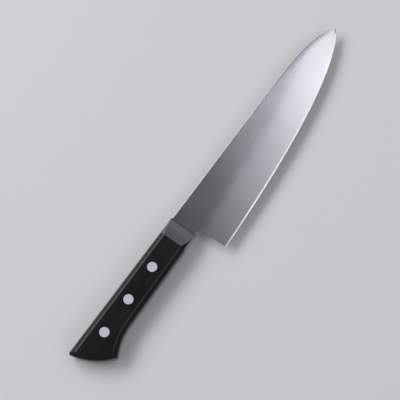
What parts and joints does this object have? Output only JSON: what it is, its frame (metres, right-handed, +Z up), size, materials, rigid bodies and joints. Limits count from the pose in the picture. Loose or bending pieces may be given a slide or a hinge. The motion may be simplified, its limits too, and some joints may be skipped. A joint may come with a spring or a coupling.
{
  "type": "gyuto knife",
  "caption": "Gyuto chef's knife with a tapered double-bevel blade, steel bolster, full tang and riveted black handle scales, lying on its side.",
  "frame": {"origin": "centre of the footprint's box, on the surface that the knife lies on", "axes": "+X from the butt to the tip along the straight spine, +Y from the edge towards the spine, +Z up out of the right side of the blade"},
  "size_m": [0.304, 0.0424, 0.0165],
  "materials": {
    "blade_steel": "satin ground, fine lines from spine to edge",
    "bolster_steel": "satin",
    "rivet_steel": "fine satin, ground flush",
    "black_laminate": "smooth semi-matt, resin-filled laminated wood"
  },
  "bodies": {
    "root": {"blade": "blade_steel", "bolster_right": "bolster_steel", "bolster_left": "bolster_steel", "scale_right": "black_laminate", "scale_left": "black_laminate", "rivet_front_tube": "rivet_steel", "rivet_front_pin": "rivet_steel", "rivet_middle_tube": "rivet_steel", "rivet_middle_pin": "rivet_steel", "rivet_rear_tube": "rivet_steel", "rivet_rear_pin": "rivet_steel"}
  },
  "joints": []
}
